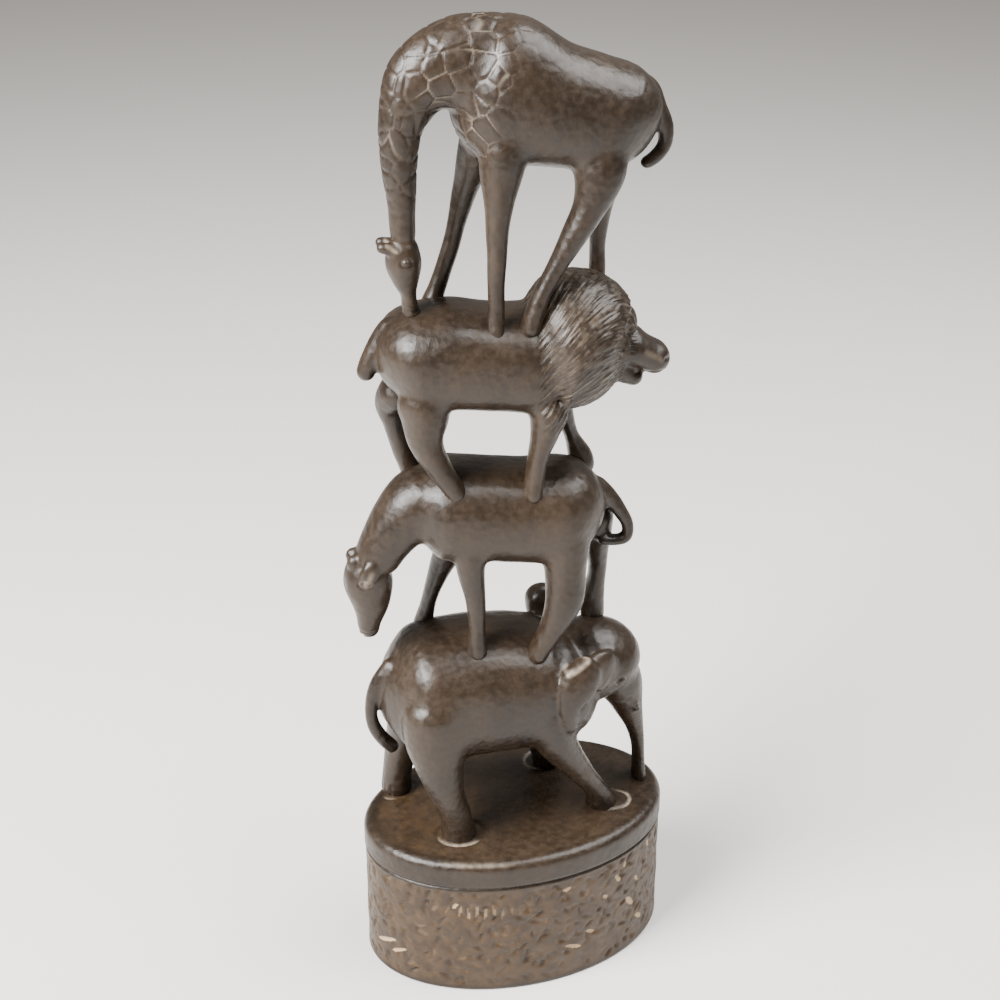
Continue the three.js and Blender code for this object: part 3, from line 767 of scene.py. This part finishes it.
class Finish:
    """One material's node tree."""

    def __init__(self, name):
        self.material = bpy.data.materials.new(name)
        self.material.use_nodes = True
        self.tree = self.material.node_tree
        self.tree.nodes.clear()

    def node(self, kind, settings=None, inputs=None):
        """A node of that kind, its settings made first, then its sockets' values or links."""
        made = self.tree.nodes.new(kind)
        for key, value in (settings or {}).items():
            setattr(made, key, value)
        for key, value in (inputs or {}).items():
            if isinstance(value, Wire):
                self.tree.links.new(value.socket, made.inputs[key])
            else:
                made.inputs[key].default_value = value
        return made

    def noise(self, scale, detail=3.0, stretch=(1, 1, 1), seed=0.0):
        """Noise over the object's own coordinates, from 0 to 1."""
        place = self.node("ShaderNodeTexCoord").outputs["Object"]
        mapped = self.node("ShaderNodeMapping", None, {"Vector": Wire(self, place), "Scale": stretch,
                                                      "Location": (seed, seed, seed)})
        made = self.node("ShaderNodeTexNoise", None, {
            "Vector": Wire(self, mapped.outputs[0]), "Scale": scale, "Detail": detail})
        return Wire(self, made.outputs[0])

    def cells(self, scale):
        """Hollow cells over the object's own coordinates: 0 in a cell's middle, 1 at its edge."""
        place = self.node("ShaderNodeTexCoord").outputs["Object"]
        made = self.node("ShaderNodeTexVoronoi", {"feature": "SMOOTH_F1"}, {
            "Vector": Wire(self, place), "Scale": scale, "Smoothness": 0.15})
        return Wire(self, made.outputs["Distance"])

    def strands(self):
        """Noise drawn out along the locks of the mane, from 0 to 1."""
        way = self.node("ShaderNodeCombineXYZ", None, {
            "X": self.mask("hair_across"), "Y": self.mask("hair_back") * 0.07})
        made = self.node("ShaderNodeTexNoise", None, {
            "Vector": Wire(self, way.outputs[0]), "Scale": 0.75, "Detail": 2.0})
        return self.clear(Wire(self, made.outputs[0]), 0.35, 0.65)

    def mask(self, name):
        """One of the carving masks of the piece."""
        return Wire(self, self.node("ShaderNodeAttribute", {"attribute_name": name}).outputs["Fac"])

    def clear(self, wire, low, high):
        """A wire spread so that low becomes 0 and high becomes 1, held between them."""
        made = self.node("ShaderNodeMapRange", {"interpolation_type": "SMOOTHSTEP"},
                         {"Value": wire, "From Min": low, "From Max": high})
        return Wire(self, made.outputs[0])

    def mix(self, share, under, over):
        """A colour from under to over by share."""
        made = self.node("ShaderNodeMix", {"data_type": "RGBA"}, {"Factor": share})
        for socket, value in ((made.inputs[6], under), (made.inputs[7], over)):
            if isinstance(value, Wire):
                self.tree.links.new(value.socket, socket)
            else:
                socket.default_value = (*value, 1)
        return Wire(self, made.outputs[2])


# The wood's colours, from the darkest to where it is freshly cut or worn to bare wood; the last is also the
# colour of the painted highlights
DARK = (0.010, 0.0060, 0.0035)
BROWN = (0.036, 0.0230, 0.0135)
GOLDEN = (0.066, 0.0370, 0.0160)
FRESH = (0.46, 0.33, 0.19)
PALE_AND_HIGHLIGHT = (0.36, 0.29, 0.22)

# How many there are to a metre of each mark in the wood, and how high the relief stands
CLOUDS = 16
GRAIN = 60
PATCHES = 130
FACETS = 210
MOTTLING = 240
FINE_GRAIN = 900
RELIEF_HEIGHT = 0.0006


def waxed_wood(name, gloss):
    """Dark stained wood under wax: mottled brown, paler where an edge is worn or freshly cut; the pale mask
    also paints highlights, and the cut mask paints light on the base's top.

    Small hollow facets cover it, as a knife leaves them, and the mane has strands along its locks.
    """
    wood = Finish(name)
    cloud = wood.clear(wood.noise(CLOUDS, 4), 0.35, 0.68)
    grain = wood.noise(GRAIN, 5, (1, 1, 0.14), 3.0)
    mottle = wood.clear(wood.noise(MOTTLING, 3, seed=9.0), 0.34, 0.70)
    pale = wood.mask("pale")
    cut = wood.mask("cut")
    facets = wood.cells(FACETS)
    strand = wood.strands()
    dark = cloud * 0.40 + wood.clear(grain, 0.35, 0.7) * 0.22 + mottle * 0.30
    colour = wood.mix(dark, DARK, BROWN)
    patch = wood.clear(wood.noise(PATCHES, 4, seed=2.0), 0.40, 0.60)
    # On the base's top the cut mask carries painted light, lighter towards -X; on the band it is the cut
    # wood
    colour = wood.mix(cut * (patch * 0.8 + 0.6), colour, GOLDEN)
    colour = wood.mix(wood.clear(cut, 0.60, 0.98) * 0.8, colour, FRESH)
    colour = wood.mix(strand * wood.mask("mane") * mottle * 0.12, colour, PALE_AND_HIGHLIGHT)
    # The pale mask: pale cut lines and worn edges, and painted highlights too
    colour = wood.mix(wood.clear(pale, 0.10, 0.95) * (mottle * 0.4 + 0.5), colour, PALE_AND_HIGHLIGHT)
    rough = mottle * 0.12 + cut * 0.16 + gloss
    fine = wood.noise(FINE_GRAIN, 3, (1, 1, 0.3), 5.0)
    relief = facets * 0.55 + grain * 0.22 + fine * 0.18 + strand * wood.mask("mane") * 0.22
    bump = wood.node("ShaderNodeBump", None, {
        "Strength": 0.8, "Distance": RELIEF_HEIGHT, "Height": relief})
    shader = wood.node("ShaderNodeBsdfPrincipled", None, {
        "Base Color": colour, "Roughness": rough, "Normal": Wire(wood, bump.outputs[0]),
        "Specular IOR Level": 0.32, "Coat Weight": 0.08, "Coat Roughness": 0.22})
    wood.node("ShaderNodeOutputMaterial", None, {"Surface": Wire(wood, shader.outputs[0])})
    return wood.material


def plain(name, colour, roughness):
    """One flat colour, for the floor."""
    made = Finish(name)
    shader = made.node("ShaderNodeBsdfPrincipled", None, {
        "Base Color": (*colour, 1), "Roughness": roughness, "Specular IOR Level": 0.1})
    made.node("ShaderNodeOutputMaterial", None, {"Surface": Wire(made, shader.outputs[0])})
    return made.material


# The stage

def soft_light(name, at, aim, size, power):
    """A square studio light that faces a point."""
    lamp = bpy.data.lights.new(name, "AREA")
    lamp.size = size
    lamp.energy = power
    made = bpy.data.objects.new(name, lamp)
    made.location = at
    away = np.array(aim) - np.array(at)
    flat = np.hypot(away[0], away[1])
    made.rotation_euler = Euler((np.arctan2(flat, -away[2]), 0, np.arctan2(-away[0], away[1])))
    bpy.context.scene.collection.objects.link(made)


def studio():
    """A pale floor, two soft lights from the upper left and right, and the photograph's camera."""
    mesh = bpy.data.meshes.new("floor")
    corners = [(x * FLOOR_HALF, y * FLOOR_HALF, 0) for x, y in ((-1, -1), (1, -1), (1, 1), (-1, 1))]
    mesh.from_pydata(corners, [], [(0, 1, 2, 3)])
    mesh.materials.append(plain("pale_floor", FLOOR_COLOUR, 0.8))
    floor = bpy.data.objects.new("floor", mesh)
    bpy.context.scene.collection.objects.link(floor)
    world = bpy.data.worlds.new("studio")
    world.use_nodes = True
    world.node_tree.nodes["Background"].inputs[0].default_value = WORLD_COLOUR
    world.node_tree.nodes["Background"].inputs[1].default_value = WORLD_POWER
    bpy.context.scene.world = world
    soft_light("key", *KEY_LIGHT)
    soft_light("top", *TOP_LIGHT)
    camera = bpy.data.objects.new("camera", bpy.data.cameras.new("camera"))
    camera.data.lens = CAMERA_LENS
    camera.data.sensor_width = CAMERA_SENSOR
    camera.location = CAMERA_AT
    camera.rotation_euler = Euler(np.radians((90 - CAMERA_DOWN, 0, -CAMERA_ROUND)))
    bpy.context.scene.collection.objects.link(camera)
    bpy.context.scene.camera = camera


figure_wood = waxed_wood("waxed_figures", 0.33)
base_wood = waxed_wood("waxed_base", 0.34)
make_base(base_wood)
make_figure("elephant", elephant_limbs(), carve_elephant, crisp_elephant, figure_wood, SKIN * 1.06)
make_figure("antelope", antelope_limbs(), carve_antelope, crisp_head, figure_wood, SKIN)
make_figure("lion", lion_limbs(), carve_lion, crisp_lion, figure_wood, SKIN * 0.9)
make_figure("giraffe", giraffe_limbs(), carve_giraffe, crisp_head, figure_wood, SKIN * 0.95)
studio()
